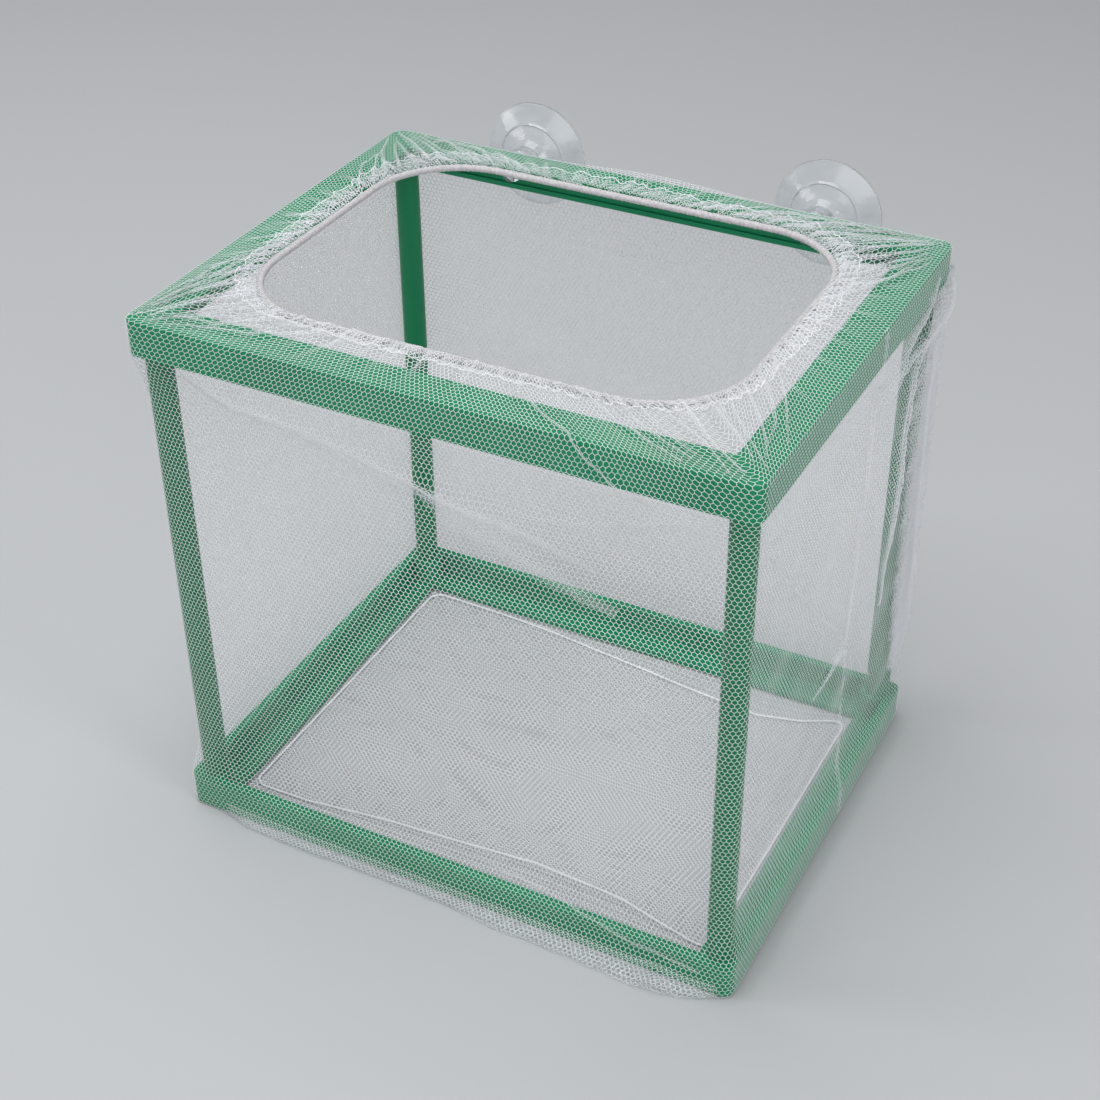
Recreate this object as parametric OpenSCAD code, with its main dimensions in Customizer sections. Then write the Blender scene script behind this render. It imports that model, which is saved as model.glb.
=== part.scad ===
// Fish breeding box: two plastic rings and four corner posts inside a gathered net bag.
// +X runs along the long side, -Y faces the front and +Z is up. The origin is on the surface
// that the box stands on, under the middle of the frame.

/* [Frame] */
// Length of the frame along its long side
frame_l = 165; // [130:1:220]
// Depth of the frame, front to back
frame_w = 128; // [105:1:180]
// Height of the frame over both rings
frame_h = 153.5; // [110:0.5:200]
// Radius of the rings' outer corners, seen from above
corner_r = 3; // [2:0.5:5]

/* [Rings] */
// Height of a ring's outer wall
ring_h = 9.5; // [9:0.5:14]
// Thickness of a ring's outer wall
ring_wall = 2; // [1.5:0.1:3]
// Width of a ring's flange, measured from the outer face
flange_w = 10; // [8:0.5:13]
// Thickness of a ring's flange
flange_t = 1.8; // [1.2:0.1:1.9]
// Width of the lip along the wall's free edge, measured from the outer face
lip_w = 2.6; // [2.2:0.1:5]
// Thickness of that lip
lip_t = 1.4; // [1:0.1:1.8]

/* [Posts] */
// Diameter of a corner post
post_d = 6.8; // [5:0.1:8]
// Bevel on a post's ends
post_bevel = 0.6; // [0.2:0.1:1.2]
// Radial gap between a post and its socket
post_fit = 0.05; // [0.02:0.01:0.1]
// Wall of a post's socket
socket_wall = 1.4; // [1:0.1:2]

/* [Net] */
// Thickness of the net
net_t = 0.5; // [0.3:0.1:0.8]
// Distance between the middles of neighbouring gaps
net_pitch = 20; // [18:1:30]
// Width of the threads between the gaps
thread_w = 1.6; // [1:0.1:3]
// Gap between the net and the posts
net_post_gap = 0.3; // [0.1:0.05:0.6]
// Height over which the net runs in from a ring to the posts
net_run = 12; // [6:1:20]
// Plain net left round the gaps
net_border = 1.5; // [1:0.5:6]

/* [Mouth] */
// Distance from the top ring's flange to the middle of the elastic hem, at the two ends
mouth_gap_x = 7.5; // [6:0.5:20]
// The same distance at the front and the back
mouth_gap_y = 6; // [3:0.5:15]
// Radius of the mouth's corners
mouth_r = 25; // [15:1:32]
// How far the mouth sits to the right of the middle
mouth_dx = -2; // [-4:0.5:4]
// How far the mouth sits towards the back
mouth_dy = 2.5; // [-3:0.5:3]
// Diameter of the elastic cord
elastic_d = 1.2; // [0.8:0.1:2]
// Play of the elastic cord in its hem, all round
elastic_play = 0.05; // [0.02:0.01:0.2]
// Wall of the hem that holds the elastic cord
hem_wall = 0.45; // [0.3:0.05:0.8]
// Distance from the middle of the hem to the seam that closes it
stitch_out = 5.5; // [3:0.5:8]
// Width of that seam
stitch_w = 1; // [0.6:0.1:2]
// Height of that seam above the net
stitch_t = 0.4; // [0.2:0.1:0.8]
// Height of the gathers where they stand highest
gather_h = 1.6; // [0.5:0.1:2.5]
// Share of each outer edge that the pleats of a straight side spread over
gather_fan = 0.86; // [0.7:0.02:0.94]
// Pleats along each long side of the mouth
pleats_long = 14; // [8:1:14]
// Pleats along each short side of the mouth
pleats_short = 8; // [5:1:8]
// Pleats round each corner of the mouth
pleats_corner = 5; // [3:1:5]

/* [Seams] */
// Distance from the bottom ring's flange to the seam round the floor
floor_seam_in = 2.5; // [2.5:0.5:15]
// How far that seam sits to the right of the middle
floor_seam_dx = 0; // [-2:0.5:2]
// How far that seam sits towards the back
floor_seam_dy = 0; // [-2:0.5:2]
// Radius of that seam's corners
floor_seam_r = 5; // [3:0.5:10]
// Width of the seam round the floor
seam_w = 1.6; // [1:0.1:3]
// Height of the floor's and the side's seams above the net
seam_t = 0.6; // [0.3:0.1:1.2]
// Width of the side panel's closing seam
side_seam_w = 3; // [2:0.5:5]
// Place of that seam, measured from the middle towards the back
side_seam_y = 11.5; // [-30:0.5:30]

/* [Loose net at the front] */
// How far the loose net lies out in front of the bottom ring
slack_out = 6; // [3:0.5:12]
// Height of the loose net
slack_h = 4.5; // [2:0.5:8]
// Share of its reach and height that is left at its two ends
slack_end = 0.3; // [0.1:0.05:0.8]
// Height that its gathered lump adds
lump_h = 2.5; // [0:0.5:4]
// Place of the lump, measured back from the right-hand corner
lump_in = 21; // [10:1:40]
// Length of the lump to each side
lump_run = 9; // [5:1:20]

/* [Suction cups] */
// Diameter of a suction cup's lip
cup_d = 30; // [24:1:40]
// Distance from the net to the lip's plane
cup_reach = 12; // [10:0.5:18]
// Distance of each cup's axis from the frame's end
cup_in = 38.5; // [25:0.5:48]
// Width of the flat rim of the lip
lip_flat = 0.6; // [0.4:0.1:1.2]
// Wall of the cup's skirt at its lip
skirt_t = 0.9; // [0.6:0.1:1.5]
// How sharply the skirt turns out from the boss
skirt_bend = 1.6; // [1:0.1:2.2]
// Diameter of the cup's boss
boss_d = 10; // [8:0.5:12]
// Length of the boss
boss_l = 4.5; // [3:0.5:6]
// Rounding of the boss's front edge
boss_r = 1.5; // [0.5:0.1:2.5]
// Diameter of the ridge that runs round the skirt's back
ridge_d = 19.5; // [16:0.5:22]
// Height of that ridge
ridge_h = 0.5; // [0.2:0.1:0.8]
// Depth of the hollow under the cup
cup_hollow = 3.6; // [2:0.1:5]
// Diameter of the neck that goes through the ring's back wall
neck_d = 3.9; // [3:0.1:4.2]
// Radial gap between the neck and its hole
neck_fit = 0.05; // [0.02:0.01:0.1]
// Play along the neck at the wall and at the net
neck_play = 0.2; // [0.1:0.05:0.4]
// Diameter of the neck's head, behind the wall
head_d = 5.4; // [4.8:0.1:5.6]
// Length of the head
head_l = 3; // [2:0.5:4]
// Diameter of the head's tip
head_tip_d = 3.2; // [2:0.1:4]
// Free space round the neck in the net
net_hole_gap = 1; // [0.5:0.1:2]

/* [Hidden] */
$fn = 48;

frame_green = [0.06, 0.55, 0.30];
net_white = [0.86, 0.87, 0.88];
hem_white = [0.93, 0.92, 0.92];
cup_clear = [0.80, 0.84, 0.90, 0.55];

eps = 0.01;                                   // overshoot of a cut past the face that it opens
ring_low_z = net_t;                           // underside of the bottom ring
ring_top_z = net_t + frame_h;                 // upper side of the top ring
post_in = ring_wall + post_fit + post_d / 2;  // a post's axis, measured in from the frame's faces
post_len = frame_h - 2 * flange_t;
net_in = ring_wall + post_fit - net_post_gap; // how far the net lies in between the rings
mouth_l = frame_l - 2 * flange_w - 2 * mouth_gap_x;
mouth_w = frame_w - 2 * flange_w - 2 * mouth_gap_y;
hem_r = elastic_d / 2 + elastic_play + hem_wall;
hem_z = ring_top_z + net_t / 2;
floor_seam_l = frame_l - 2 * flange_w - 2 * floor_seam_in;
floor_seam_w = frame_w - 2 * flange_w - 2 * floor_seam_in;
cup_x = frame_l / 2 - cup_in;
cup_z = ring_top_z - (flange_t + ring_h - lip_t) / 2; // halfway between the flange and the lip
cup_y = frame_w / 2 + net_t + neck_play;      // front of a cup's boss
hex = sqrt(3) / 2;                            // spacing of the gaps' rows over their pitch
mitre = net_in + net_t + 3;                   // depth of the cuts where two net panels meet
side_low_z = ring_low_z + ring_h + net_run;   // where the net's flat part starts
side_top_z = ring_top_z - ring_h - net_run;   // and where it ends

// ---- Outlines seen from above ----

module rounded_rect(l, w, r) {
  square([l - 2 * r, w], center = true);
  square([l, w - 2 * r], center = true);
  for (sx = [-1, 1], sy = [-1, 1])
    translate([sx * (l / 2 - r), sy * (w / 2 - r)]) circle(r);
}

// The frame's outline less a band of the given width
module inside_of(band) {
  square([frame_l - 2 * band, frame_w - 2 * band], center = true);
}

module band_round_frame(band) {
  difference() {
    rounded_rect(frame_l, frame_w, corner_r);
    inside_of(band);
  }
}

module at_posts() {
  for (sx = [-1, 1], sy = [-1, 1])
    translate([sx * (frame_l / 2 - post_in), sy * (frame_w / 2 - post_in)]) children();
}

// ---- Plastic frame ----

// A ring lying on its flange, with its wall and sockets standing up
module ring() {
  difference() {
    union() {
      linear_extrude(flange_t) band_round_frame(flange_w);
      linear_extrude(ring_h) band_round_frame(ring_wall);
      translate([0, 0, ring_h - lip_t]) linear_extrude(lip_t) band_round_frame(lip_w);
      at_posts() cylinder(h = ring_h, r = post_d / 2 + post_fit + socket_wall);
      linear_extrude(ring_h) intersection() {
        rounded_rect(frame_l, frame_w, corner_r);
        for (sx = [-1, 1], sy = [-1, 1])
          translate([sx * (frame_l - post_in) / 2, sy * (frame_w - post_in) / 2])
            square(post_in, center = true);
      }
    }
    at_posts() translate([0, 0, flange_t]) cylinder(h = ring_h, r = post_d / 2 + post_fit);
  }
}

module bottom_ring() {
  color(frame_green) translate([0, 0, ring_low_z]) ring();
}

module top_ring() {
  color(frame_green) difference() {
    translate([0, 0, ring_top_z]) mirror([0, 0, 1]) ring();
    for (side = [-1, 1])
      translate([side * cup_x, frame_w / 2 + eps, cup_z])
        rotate([90, 0, 0]) cylinder(h = ring_wall + 2 * eps, r = neck_d / 2 + neck_fit);
  }
}

// A post standing in its two sockets, sx and sy choosing its corner
module post(sx, sy) {
  color(frame_green)
  translate([sx * (frame_l / 2 - post_in), sy * (frame_w / 2 - post_in), ring_low_z + flange_t]) {
    cylinder(h = post_bevel, r1 = post_d / 2 - post_bevel, r2 = post_d / 2);
    translate([0, 0, post_bevel]) cylinder(h = post_len - 2 * post_bevel, r = post_d / 2);
    translate([0, 0, post_len - post_bevel])
      cylinder(h = post_bevel, r1 = post_d / 2, r2 = post_d / 2 - post_bevel);
  }
}

// ---- Net ----

// Six-sided gaps in rows that step by half a pitch, in the middle of a field l by h
module net_gaps(l, h) {
  cell_h = (net_pitch - thread_w) / hex;
  cols = floor((l - 2 * net_border + thread_w) / net_pitch);
  rows = 1 + floor((h - 2 * net_border - cell_h) / (net_pitch * hex));
  for (row = [0 : rows - 1])
    let (n = cols - row % 2)
      for (i = [0 : n - 1])
        translate([(i - (n - 1) / 2) * net_pitch, (row - (rows - 1) / 2) * net_pitch * hex])
          rotate(30) circle(r = cell_h / 2, $fn = 6);
}

// Height and inward reach of the net's way up: against both rings' walls, and in to the posts
// between them
side_way = [
  [0, 0], [0, ring_low_z + ring_h], [net_in, side_low_z],
  [net_in, side_top_z], [0, ring_top_z - ring_h], [0, ring_top_z]
];

// Section of a layer on a side that faces the front, from its inner face to its outer one,
// both measured out from the net's way
function side_section(y, inner, outer) = concat(
  [for (i = [0 : len(side_way) - 1]) [y + side_way[i][0] - inner, side_way[i][1]]],
  [for (i = [len(side_way) - 1 : -1 : 0]) [y + side_way[i][0] - outer, side_way[i][1]]]
);

// A side panel that faces the front, for a frame l long and w deep, mitred at both ends
module side_panel(l, w) {
  out_x = l / 2 + net_t;
  out_y = -w / 2 - net_t;
  difference() {
    intersection() {
      rotate([90, 0, 90]) linear_extrude(l + 2 * net_t, center = true)
        polygon(side_section(-w / 2, 0, net_t));
      linear_extrude(ring_top_z) polygon([
        [-out_x, out_y], [out_x, out_y], [out_x - mitre, out_y + mitre], [mitre - out_x, out_y + mitre]
      ]);
    }
    translate([0, out_y + mitre, (ring_low_z + ring_top_z) / 2])
      rotate([90, 0, 0]) linear_extrude(mitre + eps)
        net_gaps(l - 2 * net_in - 2 * net_t, frame_h - 2 * ring_h);
  }
}

module net_front() {
  color(net_white) side_panel(frame_l, frame_w);
}

module net_back() {
  color(net_white) difference() {
    rotate(180) side_panel(frame_l, frame_w);
    for (side = [-1, 1])
      translate([side * cup_x, frame_w / 2 + net_t + eps, cup_z])
        rotate([90, 0, 0]) cylinder(h = net_t + 2 * eps, r = neck_d / 2 + net_hole_gap);
  }
}

module net_right() {
  color(net_white) rotate(90) side_panel(frame_w, frame_l);
}

module net_left() {
  color(net_white) rotate(-90) side_panel(frame_w, frame_l);
}

module net_floor() {
  color(net_white) linear_extrude(net_t) difference() {
    square([frame_l, frame_w], center = true);
    net_gaps(
      floor_seam_l - 2 * seam_w - 2 * abs(floor_seam_dx),
      floor_seam_w - 2 * seam_w - 2 * abs(floor_seam_dy)
    );
  }
}

// ---- Gathered collar round the mouth ----

// The collar's ways in from the frame's edge to the hem, a ridge and a valley for each pleat.
// Sides go anticlockwise from the front, each one followed by the corner at its end.
mx = mouth_l / 2 - mouth_r;
my = mouth_w / 2 - mouth_r;
ox = frame_l / 2 + net_t;
oy = frame_w / 2 + net_t;
fx = ox * gather_fan;
fy = oy * gather_fan;
side_from = [[-mx, -my], [mx, -my], [mx, my], [-mx, my]];
side_to = [[mx, -my], [mx, my], [-mx, my], [-mx, -my]];
outer_from = [[-fx, -oy], [ox, -fy], [fx, oy], [-ox, fy]];
outer_to = [[fx, -oy], [ox, fy], [-fx, oy], [-ox, -fy]];
outer_corner = [[ox, -oy], [ox, oy], [-ox, oy], [-ox, -oy]];
corner_step = 45 / pleats_corner;
hem_edge_r = mouth_r + hem_r;
stitch_edge_r = mouth_r + stitch_out + stitch_w / 2;

// Where half a pleat starts along an edge, as shares of that edge
function shares(pleats) = [for (i = [0 : 2 * pleats - 1]) i / (2 * pleats)];

function along(a, b, s) = a + (b - a) * s;

function from_mouth(centre, angle, r) = [
  centre[0] + mouth_dx + r * cos(angle), centre[1] + mouth_dy + r * sin(angle)
];

// From the end of one side, round the frame's corner, to the start of the next
function corner_out(side, s) = s < 0.5
  ? along(outer_to[side], outer_corner[side], 2 * s)
  : along(outer_corner[side], outer_from[(side + 1) % 4], 2 * s - 1);

// Each way as [outer point, seam point, hem point]
function side_ways(side, pleats) = [
  for (s = shares(pleats))
    let (c = along(side_from[side], side_to[side], s), angle = 90 * side - 90) [
      along(outer_from[side], outer_to[side], s),
      from_mouth(c, angle, stitch_edge_r),
      from_mouth(c, angle, hem_edge_r)
    ]
];
function corner_ways(side) = [
  for (s = shares(pleats_corner))
    let (angle = 90 * side - 90 + 90 * s + corner_step / 2, flare = 1 / cos(corner_step / 2)) [
      corner_out(side, s),
      from_mouth(side_to[side], angle, stitch_edge_r * flare),
      from_mouth(side_to[side], angle, hem_edge_r * flare)
    ]
];
collar_ways = [
  for (side = [0 : 3]) each concat(
    side_ways(side, side % 2 == 0 ? pleats_long : pleats_short), corner_ways(side)
  )
];

// Every second way is a valley, and the ridges between them differ in height
function ridge(i) = gather_h * (i % 2) * (0.7 + 0.3 * sin(77 * i));

// A way's points from the frame's edge, over its ridge, to the seam and the hem
function way_points(i, z) = let (way = collar_ways[i], top = along(way[0], way[1], 0.5)) [
  [way[0][0], way[0][1], z],
  [top[0], top[1], z + ridge(i)],
  [way[1][0], way[1][1], z],
  [way[2][0], way[2][1], z]
];

module net_collar() {
  n = len(collar_ways);
  rows = 4;
  points = [for (z = [ring_top_z, ring_top_z + net_t], i = [0 : n - 1]) each way_points(i, z)];
  // Number of a point: its layer, its way and its row along the way
  function at(layer, i, row) = (layer * n + i % n) * rows + row;
  faces = [
    for (i = [0 : n - 1]) each concat(
      [for (row = [0 : rows - 2]) each [
        [at(1, i, row), at(1, i, row + 1), at(1, i + 1, row + 1)],
        [at(1, i, row), at(1, i + 1, row + 1), at(1, i + 1, row)],
        [at(0, i, row), at(0, i + 1, row + 1), at(0, i, row + 1)],
        [at(0, i, row), at(0, i + 1, row), at(0, i + 1, row + 1)]
      ]],
      [
        [at(0, i, 0), at(1, i, 0), at(1, i + 1, 0)],
        [at(0, i, 0), at(1, i + 1, 0), at(0, i + 1, 0)],
        [at(0, i, rows - 1), at(1, i + 1, rows - 1), at(1, i, rows - 1)],
        [at(0, i, rows - 1), at(0, i + 1, rows - 1), at(1, i + 1, rows - 1)]
      ]
    )
  ];
  color(net_white) polyhedron(points, faces, convexity = 10);
}

// A round tube that follows the mouth
module round_mouth(r) {
  for (s = [-1, 1]) {
    translate([0, s * mouth_w / 2, 0]) rotate([0, 90, 0]) cylinder(h = 2 * mx, r = r, center = true);
    translate([s * mouth_l / 2, 0, 0]) rotate([90, 0, 0]) cylinder(h = 2 * my, r = r, center = true);
  }
  for (q = [[mx, my, 0], [-mx, my, 90], [-mx, -my, 180], [mx, -my, 270]])
    translate([q[0], q[1], 0]) rotate(q[2])
      rotate_extrude(angle = 90) translate([mouth_r, 0]) circle(r);
}

module hem_casing() {
  color(hem_white) translate([mouth_dx, mouth_dy, hem_z]) difference() {
    round_mouth(hem_r);
    round_mouth(elastic_d / 2 + elastic_play);
  }
}

module elastic_cord() {
  color(hem_white) translate([mouth_dx, mouth_dy, hem_z]) round_mouth(elastic_d / 2);
}

// ---- Seams and loose net ----

module seam_loop(l, w, r, band) {
  difference() {
    rounded_rect(l, w, r);
    rounded_rect(l - 2 * band, w - 2 * band, r - band);
  }
}

module floor_seam() {
  color(hem_white) translate([floor_seam_dx, floor_seam_dy, net_t])
    linear_extrude(seam_t) seam_loop(floor_seam_l, floor_seam_w, floor_seam_r, seam_w);
}

module hem_stitch() {
  out = stitch_out + stitch_w / 2;
  color(hem_white) translate([mouth_dx, mouth_dy, ring_top_z + net_t])
    linear_extrude(stitch_t)
      seam_loop(mouth_l + 2 * out, mouth_w + 2 * out, mouth_r + out, stitch_w);
}

// The seam that closes the side panels into a loop, from the floor up to the collar
module side_seam() {
  color(hem_white) rotate(90) translate([side_seam_y, 0])
    rotate([90, 0, 90]) linear_extrude(side_seam_w, center = true)
      polygon(side_section(-frame_l / 2, net_t, net_t + seam_t));
}

// Loose net that lies in front of the bottom ring: an arched section that swells and fades
slack_arc = 6;       // steps up its arched front
slack_steps = 26;    // sections along it
function slack_x(i) = (i / slack_steps - 0.5) * (frame_l - 2 * corner_r);
function swell(x) = slack_end
  + (1 - slack_end) * sqrt(max(0, 1 - pow(2 * x / (frame_l - 2 * corner_r), 2)));
function lump(x) = exp(-pow((x - (frame_l / 2 - lump_in)) / lump_run, 2));

module net_front_slack() {
  face_y = -frame_w / 2 - net_t;
  ring = slack_arc + 2;
  points = [
    for (i = [0 : slack_steps])
      let (x = slack_x(i), out = slack_out * swell(x), up = slack_h * swell(x) + lump_h * lump(x))
        each concat(
          [[x, face_y, 0]],
          [for (k = [0 : slack_arc])
            [x, face_y - out * cos(90 * k / slack_arc), up * sin(90 * k / slack_arc)]]
        )
  ];
  faces = concat(
    [for (i = [0 : slack_steps - 1], k = [0 : ring - 1]) each [
      [i * ring + k, (i + 1) * ring + k, (i + 1) * ring + (k + 1) % ring],
      [i * ring + k, (i + 1) * ring + (k + 1) % ring, i * ring + (k + 1) % ring]
    ]],
    [[for (k = [0 : ring - 1]) k]],
    [[for (k = [ring - 1 : -1 : 0]) slack_steps * ring + k]]
  );
  color(net_white) polyhedron(points, faces, convexity = 4);
}

// ---- Suction cups ----

// Points of an arc from angle a to angle b, about centre [x, y]
function arc(x, y, r, a, b, steps) = [
  for (i = [0 : steps]) [x + r * cos(a + (b - a) * i / steps), y + r * sin(a + (b - a) * i / steps)]
];

// The cup's half section: [radius, distance from the boss's front], from the head to the lip
cup_r = cup_d / 2;
neck_back = -(2 * neck_play + net_t + ring_wall);
skirt_steps = 8;
function skirt_w(r) = boss_l
  + (cup_reach - skirt_t - boss_l) * pow((r - boss_d / 2) / (cup_r - boss_d / 2), 1 / skirt_bend);
function hollow_w(r) = cup_reach - cup_hollow * (1 - pow(r / (cup_r - lip_flat), 2));
ridge_r = ridge_d / 2;
ridge_w = 0.4;       // half the ridge's width
skirt_radii = [
  for (i = [1 : skirt_steps]) let (r = boss_d / 2 + (cup_r - boss_d / 2) * i / skirt_steps)
    if (abs(r - ridge_r) > 2 * ridge_w) r
];
cup_section = concat(
  [[0, neck_back - head_l], [head_tip_d / 2, neck_back - head_l], [head_d / 2, neck_back]],
  [[neck_d / 2, neck_back], [neck_d / 2, 0]],
  arc(boss_d / 2 - boss_r, boss_r, boss_r, -90, 0, 5),
  [[boss_d / 2, boss_l]],
  [for (r = skirt_radii) if (r < ridge_r) [r, skirt_w(r)]],
  [[ridge_r - ridge_w, skirt_w(ridge_r - ridge_w)], [ridge_r, skirt_w(ridge_r) - ridge_h]],
  [[ridge_r + ridge_w, skirt_w(ridge_r + ridge_w)]],
  [for (r = skirt_radii) if (r > ridge_r) [r, skirt_w(r)]],
  [[cup_r, cup_reach], [cup_r - lip_flat, cup_reach]],
  [for (i = [skirt_steps - 1 : -1 : 0])
    let (r = (cup_r - lip_flat) * i / skirt_steps) [r, hollow_w(r)]]
);

module suction_cup(side) {
  color(cup_clear) translate([side * cup_x, cup_y, cup_z])
    rotate([-90, 0, 0]) rotate_extrude() polygon(cup_section);
}

module post_front_left() { post(-1, -1); }
module post_front_right() { post(1, -1); }
module post_back_left() { post(-1, 1); }
module post_back_right() { post(1, 1); }
module suction_cup_left() { suction_cup(-1); }
module suction_cup_right() { suction_cup(1); }

top_ring();
bottom_ring();
post_front_left();
post_front_right();
post_back_left();
post_back_right();
net_front();
net_back();
net_left();
net_right();
net_floor();
net_collar();
net_front_slack();
hem_casing();
elastic_cord();
hem_stitch();
floor_seam();
side_seam();
suction_cup_left();
suction_cup_right();
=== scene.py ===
"""A fish breeding box: a green plastic frame in a white net bag, with two clear suction cups.

The net is real mesh: every thread of its hexagons is a ribbon. Cloth places are worked out in
two steps. A thread's ends have a place on the flat cloth, and a function bends that place round
the frame, in metres, in the frame's own axes: +X along the long side, -Y to the front, +Z up.
"""
import math

import bpy
import numpy as np
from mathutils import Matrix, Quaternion, Vector


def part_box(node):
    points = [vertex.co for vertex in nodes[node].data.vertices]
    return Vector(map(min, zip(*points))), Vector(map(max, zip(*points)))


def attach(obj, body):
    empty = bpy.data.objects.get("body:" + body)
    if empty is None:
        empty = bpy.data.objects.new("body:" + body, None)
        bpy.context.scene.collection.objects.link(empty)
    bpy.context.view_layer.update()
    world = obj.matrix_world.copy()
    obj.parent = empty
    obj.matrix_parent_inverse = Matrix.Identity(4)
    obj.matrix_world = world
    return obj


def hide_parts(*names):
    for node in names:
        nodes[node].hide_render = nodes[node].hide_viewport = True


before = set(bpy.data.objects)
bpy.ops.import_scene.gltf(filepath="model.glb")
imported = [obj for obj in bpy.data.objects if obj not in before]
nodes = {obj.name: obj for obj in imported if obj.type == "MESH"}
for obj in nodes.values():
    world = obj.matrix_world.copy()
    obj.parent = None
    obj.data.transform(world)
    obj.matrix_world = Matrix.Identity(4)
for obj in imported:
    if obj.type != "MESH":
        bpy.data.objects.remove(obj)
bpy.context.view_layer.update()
MM = 0.001

# ---- Sizes taken from the frame ----

ring_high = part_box("top_ring")[1]
hem_low, hem_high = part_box("hem_casing")
seam_low, seam_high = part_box("floor_seam")
side_seam_low, side_seam_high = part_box("side_seam")
cup_low, cup_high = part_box("suction_cup_right")

HALF_L, HALF_W, TOP = ring_high.x, ring_high.y, ring_high.z
HEM_R = (hem_high.z - hem_low.z) / 2
HEM_Z = (hem_high.z + hem_low.z) / 2
MOUTH_MID = ((hem_high.x + hem_low.x) / 2, (hem_high.y + hem_low.y) / 2)
MOUTH_HALF = ((hem_high.x - hem_low.x) / 2 - HEM_R, (hem_high.y - hem_low.y) / 2 - HEM_R)
SEAM_MID = (seam_high + seam_low) / 2
SEAM_HALF = ((seam_high.x - seam_low.x) / 2, (seam_high.y - seam_low.y) / 2)
CUP_X, CUP_Z = (cup_high.x + cup_low.x) / 2, (cup_high.z + cup_low.z) / 2

# ---- Sizes that the frame doesn't give ----

CORNER_R = 3.0 * MM      # rings' outer corners
MOUTH_R = 25.0 * MM      # mouth's corners

CELL_W = 1.40 * MM       # distance between neighbouring gaps in a row of the net
CELL_H = 1.15 * MM       # distance between rows
THREAD = 0.165 * MM      # width of a thread
UPRIGHT = 0.55           # half of an upright thread's length, as a share of its row's height
NET_OUT = 0.3 * MM       # net's middle outside the plastic that carries it


# ---- Small tools ----

def smooth(x):
    """0 below 0, 1 above 1, and an even rise between."""
    x = np.clip(x, 0.0, 1.0)
    return x * x * (3 - 2 * x)


def wobble(x, wave, seed=0.0):
    """Uneven waves of about the given length, between -1 and 1."""
    a = np.sin(2 * math.pi * x / wave + 1.7 * seed)
    b = np.sin(2 * math.pi * x / (wave * 0.617) + 2.9 * seed + 1.1)
    c = np.sin(2 * math.pi * x / (wave * 1.73) + 0.6 * seed + 2.3)
    return (a + 0.7 * b + 0.6 * c) / 2.3


def unit(v):
    return v / np.maximum(np.linalg.norm(v, axis=-1, keepdims=True), 1e-12)


def make_mesh(name, points, faces, material, body="frame", smooth_shade=True):
    """A piece from arrays of points and of faces that all have as many corners."""
    points = np.asarray(points, np.float32)
    faces = np.asarray(faces, np.int32)
    mesh = bpy.data.meshes.new(name)
    mesh.vertices.add(len(points))
    mesh.vertices.foreach_set("co", points.ravel())
    mesh.loops.add(faces.size)
    mesh.loops.foreach_set("vertex_index", faces.ravel())
    mesh.polygons.add(len(faces))
    starts = np.arange(0, faces.size, faces.shape[1], dtype=np.int32)
    mesh.polygons.foreach_set("loop_start", starts)
    mesh.polygons.foreach_set("use_smooth", np.full(len(faces), smooth_shade))
    mesh.update(calc_edges=True)
    mesh.materials.append(material)
    piece = bpy.data.objects.new(name, mesh)
    bpy.context.scene.collection.objects.link(piece)
    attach(piece, body)
    return piece


def quads_between(rings, closed_along=False):
    """Faces that join closed rings of points: rings is (how many rings, points in each)."""
    n, m = rings
    i = np.arange(n if closed_along else n - 1)[:, None]
    k = np.arange(m)[None, :]
    a, b = i * m, (i + 1) % n * m
    k2 = (k + 1) % m
    return np.stack([a + k, b + k, b + k2, a + k2], axis=-1).reshape(-1, 4)


# ---- Materials ----

def new_material(name):
    material = bpy.data.materials.new(name)
    material.use_nodes = True
    return material, material.node_tree.nodes, material.node_tree.links


def noise(nodes_, links, scale, detail=3.0, stretch=(1, 1, 1)):
    """Noise over the object's own coordinates, in waves of 1 / scale metres."""
    place = nodes_.new("ShaderNodeTexCoord")
    mapping = nodes_.new("ShaderNodeMapping")
    mapping.inputs["Scale"].default_value = stretch
    texture = nodes_.new("ShaderNodeTexNoise")
    texture.inputs["Scale"].default_value = scale
    texture.inputs["Detail"].default_value = detail
    links.new(place.outputs["Object"], mapping.inputs["Vector"])
    links.new(mapping.outputs["Vector"], texture.inputs["Vector"])
    return texture.outputs["Fac"]


def ramp(nodes_, links, value, stops):
    node = nodes_.new("ShaderNodeValToRGB")
    while len(node.color_ramp.elements) < len(stops):
        node.color_ramp.elements.new(0.5)
    for element, (place, colour) in zip(node.color_ramp.elements, stops):
        element.position = place
        element.color = (*colour, 1) if len(colour) == 3 else colour
    links.new(value, node.inputs["Fac"])
    return node.outputs["Color"]


def spread(nodes_, links, value, low, high):
    node = nodes_.new("ShaderNodeMapRange")
    node.inputs["To Min"].default_value = low
    node.inputs["To Max"].default_value = high
    links.new(value, node.inputs["Value"])
    return node.outputs["Result"]


def bump(nodes_, links, value, depth, strength, shader):
    node = nodes_.new("ShaderNodeBump")
    node.inputs["Distance"].default_value = depth
    node.inputs["Strength"].default_value = strength
    links.new(value, node.inputs["Height"])
    links.new(node.outputs["Normal"], shader.inputs["Normal"])


def plastic_material(name, dark, light, grain):
    """Moulded plastic: a faint cloud of colour, a fine moulded skin and a soft gloss."""
    material, n, links = new_material(name)
    shader = n["Principled BSDF"]
    cloud = noise(n, links, 45, 4, grain)
    links.new(ramp(n, links, cloud, [(0.30, dark), (0.70, light)]), shader.inputs["Base Color"])
    skin = noise(n, links, 900, 3, grain)
    links.new(spread(n, links, skin, 0.30, 0.46), shader.inputs["Roughness"])
    shader.inputs["IOR"].default_value = 1.49
    shader.inputs["Specular IOR Level"].default_value = 0.3
    bump(n, links, skin, 0.05 * MM, 0.25, shader)
    return material


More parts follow.
